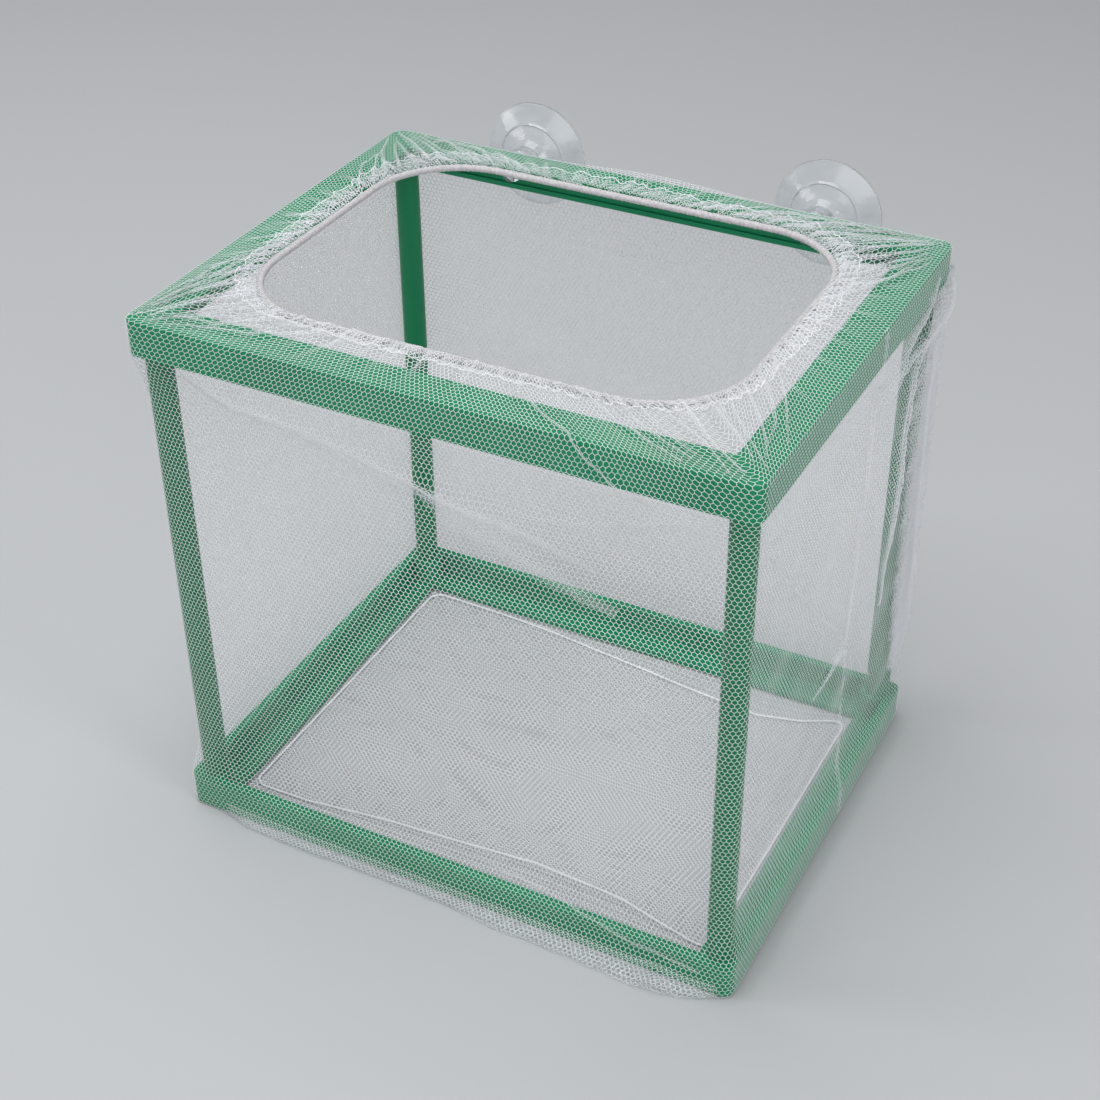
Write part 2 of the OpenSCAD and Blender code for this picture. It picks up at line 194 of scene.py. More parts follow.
def thread_material(name, dark, light, rough, scale=2500, see_through=0.0):
    """White yarn: its filaments show as fine light and dark and as a rough skin."""
    material, n, links = new_material(name)
    shader = n["Principled BSDF"]
    fibre = noise(n, links, scale, 3)
    links.new(ramp(n, links, fibre, [(0.35, dark), (0.65, light)]), shader.inputs["Base Color"])
    links.new(spread(n, links, fibre, rough - 0.08, rough + 0.08), shader.inputs["Roughness"])
    shader.inputs["Sheen Weight"].default_value = 0.15
    shader.inputs["Transmission Weight"].default_value = see_through
    shader.inputs["IOR"].default_value = 1.3
    bump(n, links, fibre, 0.05 * MM, 0.4, shader)
    return material


def clear_pvc_material(name):
    """Soft clear plastic with faint flow marks."""
    material, n, links = new_material(name)
    shader = n["Principled BSDF"]
    flow = noise(n, links, 220, 4, (1, 1, 3))
    links.new(ramp(n, links, flow, [(0.3, (0.86, 0.89, 0.93)), (0.7, (0.95, 0.97, 0.99))]),
              shader.inputs["Base Color"])
    links.new(spread(n, links, flow, 0.06, 0.2), shader.inputs["Roughness"])
    shader.inputs["Transmission Weight"].default_value = 0.92
    shader.inputs["IOR"].default_value = 1.45
    bump(n, links, flow, 0.05 * MM, 0.3, shader)
    return material


ring_green = plastic_material("ring_green", (0.002, 0.200, 0.085), (0.005, 0.245, 0.108), (1, 1, 1))
# The posts' green is darker than the rings' green: painted shade for the posts, which stand in
# shade inside the box.
shaded_post_green = plastic_material("shaded_post_green", (0.002, 0.150, 0.058), (0.004, 0.185, 0.074),
                              (1, 1, 0.08))
net_thread = thread_material("net_thread", (0.74, 0.75, 0.78), (0.89, 0.90, 0.93), 0.5,
                             see_through=0.35)
hem_thread = thread_material("hem_thread", (0.40, 0.385, 0.395), (0.52, 0.505, 0.52), 0.7, 1400)
seam_thread = thread_material("seam_thread", (0.74, 0.74, 0.77), (0.88, 0.88, 0.91), 0.5)
elastic_core = thread_material("elastic_core", (0.70, 0.64, 0.64), (0.86, 0.80, 0.80), 0.65)
clear_pvc = clear_pvc_material("clear_pvc")


# ---- Going round a rounded rectangle ----

# The quadrants front right, back right, back left, front left: which way a walk with the
# object on its left comes in to each corner, and which way it goes out.
WAY_IN = np.array([(1, 0), (0, 1), (-1, 0), (0, -1)], float)
WAY_OUT = np.array([(0, 1), (-1, 0), (0, -1), (1, 0)], float)
FACING_IN = np.array([(0, -1), (1, 0), (0, 1), (-1, 0)], float)


def half_sides(half_x, half_y, r):
    """Lengths from the middle of a side to the corner's apex, for the x and the y sides."""
    return half_x - r + r * math.pi / 4, half_y - r + r * math.pi / 4


def around(quadrant, share, half_x, half_y, r):
    """Places on a rounded rectangle and the outward normals there. share runs from -1 at the
    middle of the side before the quadrant's corner, over 0 at its apex, to 1 at the middle of
    the side after it."""
    way_in, way_out, facing = WAY_IN[quadrant], WAY_OUT[quadrant], FACING_IN[quadrant]
    along_x = np.abs(way_in[..., 0])
    half_in = np.where(along_x > 0.5, half_x, half_y)
    half_out = np.where(along_x > 0.5, half_y, half_x)
    arc = r * math.pi / 4
    step = np.where(share < 0, share * (half_in - r + arc), share * (half_out - r + arc))
    turn = math.pi / 4 + np.clip(step / r, -math.pi / 4, math.pi / 4)
    normal = np.cos(turn)[..., None] * facing + np.sin(turn)[..., None] * way_in
    centre = way_in * (half_in - r)[..., None] + facing * (half_out - r)[..., None]
    before = np.minimum(step + arc, 0.0)[..., None] * way_in
    after = np.maximum(step - arc, 0.0)[..., None] * way_out
    return centre + np.asarray(r)[..., None] * normal + before + after, normal


BAG_X, BAG_Y, BAG_R = HALF_L + NET_OUT, HALF_W + NET_OUT, CORNER_R + NET_OUT
HALF_FRONT, HALF_SIDE = half_sides(BAG_X, BAG_Y, BAG_R)
BAG_ROUND = 4 * (HALF_FRONT + HALF_SIDE)


def station(s):
    """Quadrant and share for a distance s round the bag, from the middle of the front."""
    s = np.mod(s, BAG_ROUND)
    starts = np.array([0, HALF_FRONT + HALF_SIDE, 2 * (HALF_FRONT + HALF_SIDE),
                       3 * HALF_SIDE + 3 * HALF_FRONT])
    quadrant = np.clip((s // (HALF_FRONT + HALF_SIDE)).astype(int), 0, 3)
    into = s - starts[quadrant]
    first = np.where(quadrant % 2 == 0, HALF_FRONT, HALF_SIDE)
    second = np.where(quadrant % 2 == 0, HALF_SIDE, HALF_FRONT)
    share = np.where(into < first, into / first - 1, (into - first) / second)
    return quadrant, share


# ---- Net as threads ----

def net_threads(columns, rows, place, keep, cell=(CELL_W, CELL_H), width=THREAD, shift=0.0,
                thick=0.07 * MM):
    """Points and faces of a net. columns and rows are ranges of whole numbers on the cloth,
    place(s, t) puts distances on the cloth in the room, and keep(s, t) says which cells are
    made. width is the yarn's, or a function of the place.
    A cell owns the threads on its top left, its top right and its right, and joints of the
    cells beside it are made too, so that neighbouring pieces meet without a gap."""
    a, b = cell
    i, j = np.meshgrid(np.arange(columns[0] - 2, columns[1] + 2),
                       np.arange(rows[0] - 2, rows[1] + 2), indexing="ij")
    s = (i + 0.5 * (j % 2) + shift) * a
    t = j * b
    own = keep(s, t)
    own[:2], own[-2:], own[:, :2], own[:, -2:] = False, False, False, False
    made = own.copy()
    for step in ((1, 0), (-1, 0), (0, 1), (0, -1), (1, 1), (1, -1), (-1, 1), (-1, -1)):
        made |= np.roll(own, step, axis=(0, 1))
    grid = np.full(i.shape, -1)
    grid[made] = np.arange(made.sum())
    half_up = UPRIGHT * b / 2
    # A cell's two joints with the ends of their threads: its right shoulder and its peak
    shoulder = ((a / 2, half_up), [(a / 2, -half_up), (a, b - half_up), (0, b - half_up)])
    peak = ((0, b - half_up), [(0, b + half_up), (-a / 2, half_up), (a / 2, half_up)])
    s, t = s[made], t[made]
    points = []
    for at, ends in (shoulder, peak):
        middle = place(s + at[0], t + at[1])
        yarn = width(s + at[0], t + at[1]) if callable(width) else width
        ways = [unit(place(s + e[0], t + e[1]) - middle) for e in ends]
        out = unit(np.cross(ways[1] - ways[0], ways[2] - ways[0]))
        corners = []
        for one, other in ((0, 1), (1, 2), (2, 0)):
            both = ways[one] + ways[other]
            turn = np.linalg.norm(np.cross(ways[one], ways[other]), axis=1)
            reach = np.minimum(yarn / 2 / np.maximum(turn, 0.4), 0.8 * yarn)
            corners.append(middle + both * reach[:, None])
        corners.append(middle + out * thick)
        points.append(np.stack(corners, axis=1).reshape(-1, 3))
    # A joint's points: its three corners and its raised middle
    ci, cj = np.nonzero(own)
    odd = (j[ci, cj] % 2 == 1).astype(int)
    me = grid[ci, cj] * 4
    beside = grid[ci - 1, cj] * 4
    below = grid[ci + odd, cj - 1] * 4
    p = 4 * len(s)
    quads = np.concatenate([
        np.stack([p + me + 1, me + 2, me + 3, p + me + 3], axis=1),
        np.stack([p + me + 3, me + 3, me + 1, p + me + 2], axis=1),
        np.stack([beside, p + me + 1, p + me + 3, beside + 3], axis=1),
        np.stack([beside + 3, p + me + 3, p + me, beside + 1], axis=1),
        np.stack([p + below, p + below + 3, me + 3, me + 2], axis=1),
        np.stack([p + below + 3, p + below + 2, me, me + 3], axis=1),
    ])
    used, faces = np.unique(quads, return_inverse=True)
    return np.concatenate(points)[used], faces.reshape(-1, 4)


def joined(parts):
    """Points and faces of several parts as one."""
    firsts = np.cumsum([0] + [len(points) for points, _ in parts[:-1]])
    return (np.concatenate([points for points, _ in parts]),
            np.concatenate([faces + first for (_, faces), first in zip(parts, firsts)]))


# ---- Way of the net up the sides ----

# Distance in from the frame's faces and height, in millimetres, from the floor's seam out under
# the bottom ring, up the side and over the top edge
UP = np.array([
    (13.6, 0.25), (6.0, 0.25), (0.8, 0.22), (0.0, 0.32), (-0.3, 0.9), (-0.32, 5.0), (-0.3, 10.0),
    (0.1, 12.5), (1.2, 17.5), (1.72, 21.5), (1.78, 26.0), (1.78, 128.0), (1.70, 132.5),
    (1.1, 137.0), (0.2, 141.5), (-0.3, 144.3), (-0.34, 148.0), (-0.3, 153.5), (-0.1, 154.1),
    (0.6, 154.34)]) * MM
UP_T = np.concatenate([[0], np.cumsum(np.linalg.norm(np.diff(UP, axis=0), axis=1))])
UP_T -= UP_T[-1]
UP_WAY = np.gradient(UP, UP_T, axis=0)
UP_WAY /= np.linalg.norm(UP_WAY, axis=1)[:, None]
EDGE_IN = UP[-1, 0]
SEAM_T = UP_T[0]
UNDER_T = UP_T[2]
TOP_Z = TOP + 0.34 * MM


def t_at(z):
    """Distance on the cloth of a height on the side."""
    return np.interp(z, UP[3:-2, 1], UP_T[3:-2])


def front(x, z):
    return x * MM, t_at(z * MM)


def right(y, z):
    return HALF_FRONT + HALF_SIDE + y * MM, t_at(z * MM)


def back(x, z):
    return 2 * HALF_FRONT + 2 * HALF_SIDE - x * MM, t_at(z * MM)


def left(y, z):
    return 3 * HALF_FRONT + 3 * HALF_SIDE - y * MM, t_at(z * MM)


CORNER_S = np.array([HALF_FRONT, HALF_FRONT + 2 * HALF_SIDE, 3 * HALF_FRONT + 2 * HALF_SIDE,
                     3 * HALF_FRONT + 4 * HALF_SIDE])


def collar_ends(s):
    """Both ends of the collar's way at s: the frame's top edge and the middle of the hem."""
    quadrant, share = station(s)
    edge, _ = around(quadrant, share, HALF_L - EDGE_IN, HALF_W - EDGE_IN,
                     np.full(s.shape, CORNER_R))
    mouth, _ = around(quadrant, share, *MOUTH_HALF, np.full(s.shape, MOUTH_R))
    return edge, mouth + MOUTH_MID


def collar_length(s):
    edge, mouth = collar_ends(s)
    return np.linalg.norm(mouth - edge, axis=-1)


# ---- Folds ----

class Fold:
    """A crease in the net: a line on the cloth, its half width, how far the cloth is pulled
    together over it, and how far it stands out."""

    def __init__(self, line, half, pull=1.5, lift=0.8, ends=(0.15, 0.15)):
        self.line = np.array(line, float)
        self.half, self.pull, self.lift, self.ends = half * MM, pull, lift * MM, ends

    def act(self, s, t):
        line = self.line
        ds = np.mod(s - line[0, 0] + BAG_ROUND / 2, BAG_ROUND) - BAG_ROUND / 2
        p = np.stack([ds, t], axis=-1)
        q = line - (line[0, 0], 0.0)
        low, high = q.min(axis=0) - 3 * self.half, q.max(axis=0) + 3 * self.half
        near = ((p > low) & (p < high)).all(axis=-1)
        if not near.any():
            return near, None, None
        p = p[near]
        lengths = np.linalg.norm(np.diff(q, axis=0), axis=1)
        best = np.full(len(p), 1e9)
        side, along, across = np.zeros(len(p)), np.zeros(len(p)), np.zeros((len(p), 2))
        walked = 0.0
        for start, end, length in zip(q[:-1], q[1:], lengths):
            way = (end - start) / length
            k = np.clip((p - start) @ way, 0, length)
            rest = p - start - k[:, None] * way
            far = np.linalg.norm(rest, axis=1)
            closer = far < best
            best[closer] = far[closer]
            sign = np.sign(rest[:, 0] * way[1] - rest[:, 1] * way[0])
            side[closer] = (sign * far)[closer]
            across[closer] = np.array([way[1], -way[0]])
            along[closer] = (walked + k[closer]) / lengths.sum()
            walked += length
        first, last = (max(end, 1e-6) for end in self.ends)
        fade = smooth(along / first) * smooth((1 - along) / last)
        rho = side / self.half
        bell = np.exp(-rho * rho) * fade
        shift = -self.pull * side * bell
        lift = self.lift * bell * (1 - 0.5 * rho)
        return near, across * shift[:, None], lift


def act_folds(folds, s, t):
    s, t = s.copy(), t.copy()
    lift = np.zeros(s.shape)
    for fold in folds:
        near, shift, up = fold.act(s, t)
        if shift is not None:
            s[near] += shift[:, 0]
            t[near] += shift[:, 1]
            lift[near] += np.maximum(up, 0.0)
    return s, t, lift


# Lines of the larger folds, as the net hangs
SWAG = [front(-66, 143.5), front(-55, 137.8), front(-36, 136.5), front(-22, 133.6),
        front(-10, 130.9),        front(2, 128.4), front(14, 126.6), front(30, 124), front(44, 119)]
SWAG_EDGE = [front(-66, 143.0), front(-55.5, 136.4), front(-37.1, 134.8), front(-27.3, 132.0),
             front(-16.4, 129.6), front(-5.7, 127.2), front(7, 124.8), front(18, 122)]
SWAG_FAN = [front(-4, 128), front(14, 121), front(32, 115), front(50, 109)]
BAR_FOLD = [(19.5 * MM, 12.5 * MM), (28.4 * MM, 7.5 * MM), (32.7 * MM, 3.6 * MM),
            (37.5 * MM, 0.3 * MM), front(41.5, 150.6), front(45.3, 148.4), front(48.2, 145.6),
            front(51.4, 144), front(57, 142.5)]
FOOT_LINE = [front(15, 16.9), front(33.1, 14.9), front(43.5, 11.9), front(53.9, 8.9),
             front(64, 8.5), front(74.1, 6.8)]
TO_SEAM = [right(60, 147), right(54, 139), right(48.1, 134.6), right(35.3, 133.8), right(22, 131),
           right(13.4, 126.8)]
BACK_EDGE = [right(59, 147), right(50, 136), right(44.2, 126), right(40.2, 102), right(37.3, 80.6),
             right(37, 58)]
BACK_EDGE_2 = [right(61, 147), right(55.5, 136), right(54.1, 128), right(53.9, 112.5),
               right(54.5, 80), right(57, 30)]
POST_FOLD = [right(63.5, 148), right(61.5, 136), right(61, 80), right(61.5, 36), right(62.5, 18)]
ACROSS = [right(-54.4, 128.8), right(-41, 114), right(-27.5, 100.3), right(-10, 82),
          right(6.8, 64.9), right(21, 50), right(36.1, 33.8)]
POST_COVER = [right(58, 146), right(57, 120), right(56.5, 80), right(57, 45), right(58.5, 24)]
SEAM_BAND = [right(13.4, 139), right(12.2, 112), right(11.1, 86), right(10, 61)]
SEAM_KNOT = [right(-5, 67), right(4, 64.5), right(11, 62)]
SEAM_IN = [right(14, 60), right(1, 63), right(-14, 60)]

FOLDS = [
    Fold(SWAG, 3.2, 0.72, 0.9, (0.1, 0.35)), Fold(SWAG_FAN, 4.0, 0.45, 0.5, (0.3, 0.5)),
    Fold(BAR_FOLD, 1.5, 0.85, 0.45, (0.15, 0.25)),
    Fold([front(20, 128), front(40, 131), front(58, 137), front(74, 143)], 2.0, 0.5, 0.4),
    Fold(TO_SEAM, 3.0, 0.8, 1.0, (0.1, 0.2)), Fold(BACK_EDGE, 4.5, 0.4, 0.8, (0.1, 0.3)),
    Fold(BACK_EDGE_2, 3.0, 0.7, 1.0, (0.1, 0.3)), Fold(POST_FOLD, 7.0, 0.15, 1.5, (0.12, 0.2)),
    Fold(ACROSS, 1.2, 0.75, 0.35, (0.2, 0.15)), Fold(SEAM_IN, 1.6, 0.7, 0.5, (0.1, 0.4)),
    Fold([right(12, 122), right(-2, 121), right(-14, 119)], 2.0, -0.5, 0.0, (0.3, 0.5)),
    # The left side and the back hang a little slack too
    Fold([left(-40, 141), left(-43, 110), left(-46, 80)], 2.2, 0.6, 0.6, (0.2, 0.4)),
    Fold([left(44, 142), left(30, 125), left(10, 112), left(-8, 106)], 2.0, 0.6, 0.6, (0.2, 0.4)),
    Fold([back(-60, 140), back(-40, 132), back(-10, 130), back(20, 134)], 2.2, 0.6, 0.6,
         (0.2, 0.3)),
    Fold([back(62, 30), back(58, 55), back(62, 90)], 2.0, 0.6, 0.5, (0.2, 0.4)),
    Fold([back(-64, 100), back(-50, 70), back(-30, 45)], 2.0, 0.6, 0.5, (0.2, 0.5)),
]

# Folds that run from the frame's corners to the hem: for each corner, their distances along the
# cloth from the corner's middle at the hem
CORNER_FOLDS = [
    (-40, -30, -21, -13, -6, 2, 10, 19, 29, 40),
    (-46, -38, -31, -25, -20, -15, -10, -6, -2, 2, 7, 12, 17, 23, 29, 36, 44, 54),
    (-40, -32, -25, -18, -12, -6, 0, 6, 13, 20, 28, 38),
    (-38, -30, -23, -17, -11, -6, -1, 5, 10, 16, 23, 31, 41, 52),
]
# How wide each fan is at the frame's edge, for 1 at the hem
CORNER_SPREAD = (0.42, 0.30, 0.34, 0.24)


def corner_line(corner, number, far):
    s_hem = CORNER_S[corner] + far * MM
    sway = 1.3 * math.sin(5.3 * number + corner)
    s_edge = CORNER_S[corner] + (CORNER_SPREAD[corner] * far + sway) * MM
    reach = float(collar_length(np.array([s_hem]))[0])
    bow = (1.6 * math.sin(2.7 * number + 1.3 * corner)) * MM
    return [(s_edge, (1.5 + 2.5 * (number % 3)) * MM),
            (0.62 * s_edge + 0.38 * s_hem + bow, 0.36 * reach),
            (0.25 * s_edge + 0.75 * s_hem + 0.5 * bow, 0.72 * reach), (s_hem, reach - 0.8 * MM)]


corner_lines = [corner_line(corner, number, far)
                for corner, fans in enumerate(CORNER_FOLDS) for number, far in enumerate(fans)]
for number, line in enumerate(corner_lines):
    FOLDS.append(Fold(line, 1.3 + 0.4 * math.sin(3.1 * number), 0.62, 0.6, (0.6, 0.08)))


def ripples(s, f):
    """Height of the collar's gathers: wide ones that fine ones join towards the hem."""
    wide = 0.5 + 0.5 * wobble(s, 9.5 * MM, 1.0)
    fine = 0.5 + 0.5 * wobble(s, 3.9 * MM, 2.0)
    span = smooth(f / 0.5) * smooth((1.0 - f) / 0.12)
    near_hem = smooth((f - 0.45) / 0.4)
    return (1.25 * wide * span + 0.75 * fine * near_hem * smooth((1.0 - f) / 0.10)) * MM


# How far the columns lean along the bag near its top edge, for a step up: on the front and on
# the left, where the mouth pulls them
LEAN_S = np.array([-82, -70, -50, -30, -10, 10, 30, 50, 70, 82]) * MM
LEAN = np.array([0.05, 0.35, 0.57, 0.50, 0.38, 0.25, 0.05, -0.10, -0.30, -0.05])
LEAN_LEFT_S = np.array([-62, -45, -30, -15, 0, 20, 45, 62]) * MM
LEAN_LEFT = np.array([0.05, 0.17, 0.23, 0.33, 0.34, 0.30, 0.15, 0.05])
LEAN_RUN = 28 * MM


def leaned(s, t):
    middle = np.mod(s + BAG_ROUND / 2, BAG_ROUND) - BAG_ROUND / 2
    lean = np.interp(middle, LEAN_S, LEAN, 0, 0)
    from_left = np.mod(s, BAG_ROUND) - 3 * (HALF_FRONT + HALF_SIDE)
    lean = lean + np.interp(from_left, LEAN_LEFT_S, LEAN_LEFT, 0, 0)
    rise = np.clip(t + LEAN_RUN, 0, LEAN_RUN)
    return s + lean * rise * rise / (2 * LEAN_RUN)


BACK_S = 2 * HALF_FRONT + 2 * HALF_SIDE
PUFF_HALF, PUFF_RUN, PUFF_UP = 22 * MM, 4.5 * MM, 1.9 * MM


def puff(s, t):
    """How far the net stands up over the middle of the back's top edge."""
    off = np.mod(s - BACK_S + BAG_ROUND / 2, BAG_ROUND) - BAG_ROUND / 2
    return PUFF_UP * np.exp(-(off / PUFF_HALF) ** 2 - ((t - 1 * MM) / PUFF_RUN) ** 2)


def bag(s, t, out=0.0):
    """Where the bag's cloth hangs: s round it and t up it, out millimetres off it."""
    shape = s.shape
    s, t = s.ravel(), t.ravel()
    s, t, lift = act_folds(FOLDS, s, t)
    lift = lift + out + puff(s, t)
    quadrant, share = station(s)
    wall_t = np.minimum(t, 0.0)
    u, z = (np.interp(wall_t, UP_T, UP[:, k]) for k in (0, 1))
    way_u, way_z = (np.interp(wall_t, UP_T, UP_WAY[:, k]) for k in (0, 1))
    # Between the rings the cloth is free and a little slack
    free = smooth((z - 16 * MM) / (14 * MM)) * smooth((138 * MM - z) / (14 * MM))
    off_post = smooth((np.abs(share) - 0.10) / 0.12)
    slack = (0.55 * wobble(s + 0.35 * z, 47 * MM, 3.0)
             + 0.35 * wobble(z - 0.3 * s, 31 * MM, 4.0)) * MM
    lift = lift + free * off_post * slack
    r = (3.3 * MM + np.clip(u + 0.3 * MM, 0, 2.1 * MM) * 0.195)
    # Under the bottom ring the cloth draws in to the floor's seam, which has rounder corners
    under = smooth((UNDER_T - wall_t) / (UNDER_T - SEAM_T))
    r = r + under * 1.7 * MM
    xy, normal = around(quadrant, share, HALF_L - u, HALF_W - u, r)
    place = np.concatenate([xy, z[:, None]], axis=1)
    outward = np.concatenate([normal * way_z[:, None], way_u[:, None]], axis=1)
    # The collar
    on_top = t > 0
    if on_top.any():
        edge, mouth = collar_ends(s[on_top])
        length = np.linalg.norm(mouth - edge, axis=1)
        f = t[on_top] / length
        height = TOP_Z + ripples(s[on_top], np.clip(f, 0, 1))
        height = height + 0.5 * MM * smooth((f - 0.8) / 0.2)
        flat = edge + (mouth - edge) * f[:, None]
        place[on_top] = np.concatenate([flat, height[:, None]], axis=1)
        outward[on_top] = (0, 0, 1)
    place = place + unit(outward) * lift[:, None]
    return place.reshape(shape + (3,))


# ---- The bag's pieces ----

COLUMNS = round(BAG_ROUND / CELL_W)
CELL = (BAG_ROUND / COLUMNS, CELL_H)
LOW_ROW = int(math.ceil(UNDER_T / CELL_H)) - 1
HEM_LINE = HEM_R * 0.6   # the net reaches this near to the middle of the hem


POST_GATHER = (-79.5 * MM, 14 * MM, 0.22)  # place, half width and share of the gathered columns


def bag_net(s, t, out=0.0):
    s = leaned(s, t)
    off = np.mod(s - POST_GATHER[0] + BAG_ROUND / 2, BAG_ROUND) - BAG_ROUND / 2
    gathered = POST_GATHER[2] * off * np.exp(-(off / POST_GATHER[1]) ** 2) * smooth(-t / (12 * MM))
    return bag(s - gathered, t, out)


def side_net(name, s_from, s_to, low=UNDER_T, holes=()):
    def keep(s, t):
        inside = (s >= s_from) & (s < s_to) & (t > low) & (t <= 0)
        for hole_s, hole_t in holes:
            inside &= np.hypot(s - hole_s, t - hole_t) > 1.4 * MM
        return inside

    columns = int(s_from / CELL[0]) - 2, int(s_to / CELL[0]) + 3
    return make_mesh(name, *net_threads(columns, (LOW_ROW, 1), bag_net, keep, CELL), net_thread)


LOOSE_T = t_at(8.6 * MM)  # the front's net is loose below this
neck_holes = [back(side * CUP_X / MM, CUP_Z / MM) for side in (-1, 1)]
spans = {
    "net_front": (CORNER_S[3] - BAG_ROUND, CORNER_S[0], 2 * HALF_FRONT),
    "net_right": (CORNER_S[0], CORNER_S[1], 2 * HALF_SIDE),
    "net_back": (CORNER_S[1], CORNER_S[2], 2 * HALF_FRONT),
    "net_left": (CORNER_S[2], CORNER_S[3], 2 * HALF_SIDE),
}
for node, (s_from, s_to, width) in spans.items():
    side_net(node + "_threads", s_from, s_to,
                           LOOSE_T if node == "net_front" else UNDER_T,
                           neck_holes if node == "net_back" else ())
    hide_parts(node)


def collar_net(name, reach_in, out, shift, reach_out=None):
    """The collar, or a band of it that ends reach_out from the hem."""
    def keep(s, t):
        length = collar_length(leaned(s, t).ravel()).reshape(s.shape)
        inside = (s >= 0) & (s < BAG_ROUND) & (t > 0) & (t < length - reach_in)
        return inside if reach_out is None else inside & (t > length - reach_out)

    threads = net_threads((-1, COLUMNS + 1), (0, 40), lambda s, t: bag_net(s, t, out), keep,
                          CELL, shift=shift)
    return make_mesh(name, *threads, net_thread)


collar = collar_net("net_collar_threads", HEM_LINE, 0.0, 0.0)
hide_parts("net_collar")
hem_band = collar_net("hem_band_threads", HEM_LINE, 0.45 * MM, 0.45, 6.0 * MM)
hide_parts("net_collar")

FLOOR_LEAN = -0.52       # the floor's net is pulled askew
# Where the floor's seam runs off its straight sides: x, and how far the near side bows back and
# up, and how far the far side comes forward, in millimetres
BOW_X = np.array([-71, -53, -29, -7, 17, 36, 44, 56, 70]) * MM
BOW_BACK = np.array([0.4, 0.9, 3.6, 5.0, 6.8, 6.0, 5.5, 2.8, 0]) * MM
BOW_UP = np.array([0, 0.1, 0.7, 1.0, 1.4, 1.2, 1.0, 0.5, 0]) * MM
FAR_X = np.array([-70, -47, -28, -3, 9, 21, 46, 58, 70]) * MM
FAR_IN = np.array([-1.2, -0.8, 0.3, 3.4, 4.8, 6.6, 9.0, 6.0, 0]) * MM


def bowed(x, y):
    """How far the floor's net is drawn back and up at a place, with its seam."""
    near = np.exp(-((y - SEAM_MID.y + SEAM_HALF[1]) / (14 * MM)) ** 2)
    far = np.exp(-((y - SEAM_MID.y - SEAM_HALF[1]) / (18 * MM)) ** 2)
    moved_back = np.interp(x, BOW_X, BOW_BACK) * near - np.interp(x, FAR_X, FAR_IN) * far
    return moved_back, np.interp(x, BOW_X, BOW_UP) * near


def floor_place(s, t):
    x, y = s + FLOOR_LEAN * t + SEAM_MID.x, t + SEAM_MID.y
    back_, up = bowed(x, y)
    z = 0.33 * MM + 0.10 * MM * wobble(x + y, 23 * MM) + up
    return np.stack([x, y + back_, z], axis=-1)


def on_floor(s, t):
    x = np.abs(s + FLOOR_LEAN * t)
    return (x < SEAM_HALF[0] - 0.3 * MM) & (np.abs(t) < SEAM_HALF[1] - 0.3 * MM)


def under_place(s, t):
    place = bag(s, t)
    share = smooth((UNDER_T - 5 * MM - t) / (8 * MM))
    back_, up = bowed(place[..., 0], place[..., 1])
    place[..., 1] += share * back_
    place[..., 2] += share * up
    return place


floor_net = make_mesh("net_floor_threads", *net_threads((-62, 62), (-42, 42), floor_place, on_floor,
                                                        (1.62 * MM, 1.25 * MM)), net_thread)
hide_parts("net_floor")
under = net_threads((-1, COLUMNS + 1), (int(SEAM_T / CELL_H), LOW_ROW + 3), under_place,
                    lambda s, t: (s >= 0) & (s < BAG_ROUND) & (t > SEAM_T) & (t <= UNDER_T), CELL)
under = make_mesh("net_floor_edge_threads", *under, net_thread)
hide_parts("net_floor")


SLACK_X = np.array([-83, -75.4, -63.3, -44.4, -21.4, 1.7, 19.4, 35.4, 51.5, 62.4, 71.2, 78, 83])
SLACK_OUT = np.array([0, 0.5, 2.7, 3.7, 3.1, 3.6, 5.5, 5.4, 6.2, 7.0, 4.7, 1.8, 0])
# The loose net's way down, for a bulge of 1: share of the bulge out, and height
SLACK_WAY = np.array([(0, 8.6), (0.02, 7.4), (0.12, 6.0), (0.34, 4.4), (0.62, 2.9), (0.88, 1.7),
                      (1.0, 0.9), (0.97, 0.42), (0.80, 0.22), (0.45, 0.20), (0.0, 0.20),
                      (-0.4, 0.22)])
WALL_WAY = np.array([(0, 8.6), (0, 7.4), (0, 6.3), (0, 5.2), (0, 4.1), (0, 3.0), (0, 2.0),
                     (0, 1.1), (-0.05, 0.5), (-0.5, 0.25), (-1.5, 0.22), (-2.5, 0.22)])


def slack_way(x):
    """Points of the loose net's way at each x, as distances out and heights, in millimetres."""
    out = np.interp(x, SLACK_X, SLACK_OUT)
    out = out * (1 + 0.07 * wobble(x, 19, 5.0) + 0.03 * wobble(x, 6.1, 6.0))
    share = smooth(out / 3.0)[:, None]
    heights = np.broadcast_to(SLACK_WAY[:, 1], (len(x), len(SLACK_WAY)))
    loose = np.stack([out[:, None] * SLACK_WAY[:, 0], heights], axis=-1)
    way = WALL_WAY * (1 - share[..., None]) + loose * share[..., None]
    length = np.cumsum(np.linalg.norm(np.diff(way, axis=1), axis=2), axis=1)
    return way, np.concatenate([np.zeros((len(x), 1)), length], axis=1)


LUMP_X = 62.5            # middle of the loose net's gathered lump


